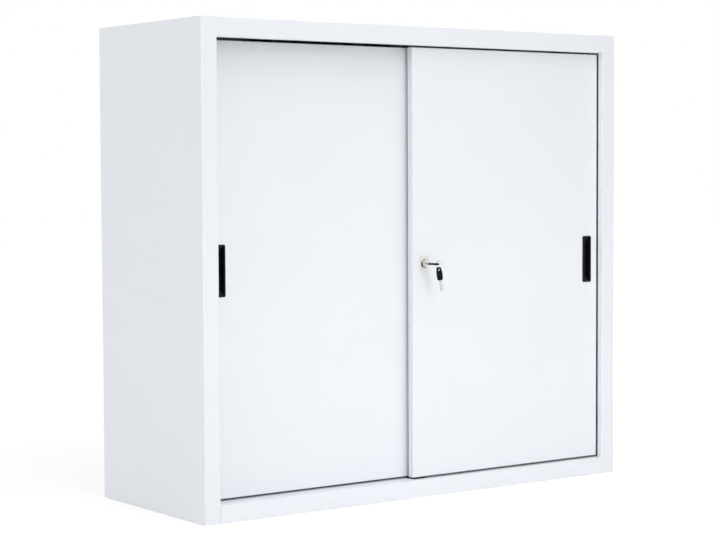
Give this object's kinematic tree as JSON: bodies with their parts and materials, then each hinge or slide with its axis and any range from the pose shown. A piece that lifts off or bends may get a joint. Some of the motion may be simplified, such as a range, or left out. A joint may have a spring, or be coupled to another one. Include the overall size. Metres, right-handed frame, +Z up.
{
  "type": "sliding door cabinet",
  "caption": "Free-standing steel storage cabinet with overlapping top-hung sliding doors, flush pulls, push-in lock with keys and adjustable shelves.",
  "frame": {"origin": "on the floor under the middle of the cabinet, on the underside of the floor rib", "axes": "+X to the right across the front, +Y from the front to the back, +Z up"},
  "size_m": [1.2, 0.4977, 1.09],
  "materials": {
    "carcass_paint": "semi-gloss powder coat",
    "door_paint": "semi-gloss powder coat",
    "zinc": "bright zinc plate",
    "hanger_black": "black phosphate",
    "nylon": "natural nylon",
    "guide_black": "black nylon",
    "rubber": "moulded",
    "pull_plastic": "fine moulded grain",
    "lock_metal": "satin nickel",
    "key_metal": "nickel plate",
    "bow_plastic": "moulded"
  },
  "bodies": {
    "carcass": {"left_side_panel": "carcass_paint", "right_side_panel": "carcass_paint", "top_panel": "carcass_paint", "base_panel": "carcass_paint", "back_panel": "carcass_paint", "floor_rib": "carcass_paint", "front_door_rail": "zinc", "rear_door_rail": "zinc", "track_stops": "rubber", "floor_guide": "guide_black", "lower_shelf": "carcass_paint", "upper_shelf": "carcass_paint", "shelf_clips": "zinc", "left_front_strip": "zinc", "left_rear_strip": "zinc", "right_front_strip": "zinc", "right_rear_strip": "zinc"},
    "front_door": {"front_door_panel": "door_paint", "front_door_liner": "door_paint", "front_door_pull": "pull_plastic", "front_door_stiffener": "zinc", "front_door_channel": "zinc", "front_door_hangers": "hanger_black", "front_door_hanger_nuts": "zinc", "front_door_axles": "zinc", "lock_plate": "lock_metal", "lock_body": "lock_metal", "lock_nut": "lock_metal"},
    "rear_door": {"rear_door_panel": "door_paint", "rear_door_liner": "door_paint", "rear_door_pull": "pull_plastic", "rear_door_stiffener": "zinc", "rear_door_channel": "zinc", "rear_door_hangers": "hanger_black", "rear_door_hanger_nuts": "zinc", "rear_door_axles": "zinc", "strike_bush": "nylon"},
    "lock_barrel": {"lock_barrel": "lock_metal", "lock_bolt": "lock_metal"},
    "lock_plug": {"lock_plug": "lock_metal"},
    "key": {"key_blade": "key_metal", "key_bow": "bow_plastic"},
    "key_ring": {"key_ring": "key_metal"},
    "spare_key": {"spare_key_blade": "key_metal", "spare_key_bow": "bow_plastic"},
    "front_door_left_wheel": {"front_door_left_wheel": "nylon"},
    "front_door_right_wheel": {"front_door_right_wheel": "nylon"},
    "rear_door_left_wheel": {"rear_door_left_wheel": "nylon"},
    "rear_door_right_wheel": {"rear_door_right_wheel": "nylon"}
  },
  "joints": [
    {"name": "front_door_slide", "type": "slide", "parent": "carcass", "child": "front_door", "axis": [-1, 0, 0], "range_m": [0, 0.48]},
    {"name": "rear_door_slide", "type": "slide", "parent": "carcass", "child": "rear_door", "axis": [1, 0, 0], "range_m": [0, 0.48]},
    {"name": "front_door_left_wheel_roll", "type": "hinge", "parent": "front_door", "child": "front_door_left_wheel", "pos_m": [0.038, -0.198, 1.0728], "axis": [0, 1, 0], "range_deg": [-3060, 0]},
    {"name": "front_door_right_wheel_roll", "type": "hinge", "parent": "front_door", "child": "front_door_right_wheel", "pos_m": [0.4975, -0.198, 1.0728], "axis": [0, 1, 0], "range_deg": [-3060, 0]},
    {"name": "rear_door_left_wheel_roll", "type": "hinge", "parent": "rear_door", "child": "rear_door_left_wheel", "pos_m": [-0.5035, -0.17, 1.0728], "axis": [0, 1, 0], "range_deg": [0, 3060]},
    {"name": "rear_door_right_wheel_roll", "type": "hinge", "parent": "rear_door", "child": "rear_door_right_wheel", "pos_m": [-0.0335, -0.17, 1.0728], "axis": [0, 1, 0], "range_deg": [0, 3060]},
    {"name": "lock_push", "type": "slide", "parent": "front_door", "child": "lock_barrel", "axis": [0, -1, 0], "range_m": [-0.008, 0], "stiffness_N_per_m": 300, "springref_m": 0.008},
    {"name": "plug_turn", "type": "hinge", "parent": "lock_barrel", "child": "lock_plug", "pos_m": [0.0116, -0.2205, 0.5435], "axis": [0, -1, 0], "range_deg": [0, 90]},
    {"name": "key_pull", "type": "slide", "parent": "lock_plug", "child": "key", "axis": [0, -1, 0], "range_m": [0, 0.03]},
    {"name": "ring_swing", "type": "hinge", "parent": "key", "child": "key_ring", "pos_m": [0.0116, -0.253, 0.5435], "axis": [1, 0, 0], "range_deg": [-25, 0]},
    {"name": "spare_key_swing", "type": "hinge", "parent": "key_ring", "child": "spare_key", "pos_m": [0.0116, -0.2627, 0.5324], "axis": [0, 1, 0], "range_deg": [-70, 70]}
  ],
  "couplings": [
    {"joint": "front_door_left_wheel_roll", "follows": "front_door_slide", "rad_per_m": -111.11},
    {"joint": "front_door_right_wheel_roll", "follows": "front_door_slide", "rad_per_m": -111.11},
    {"joint": "rear_door_left_wheel_roll", "follows": "rear_door_slide", "rad_per_m": 111.11},
    {"joint": "rear_door_right_wheel_roll", "follows": "rear_door_slide", "rad_per_m": 111.11}
  ]
}
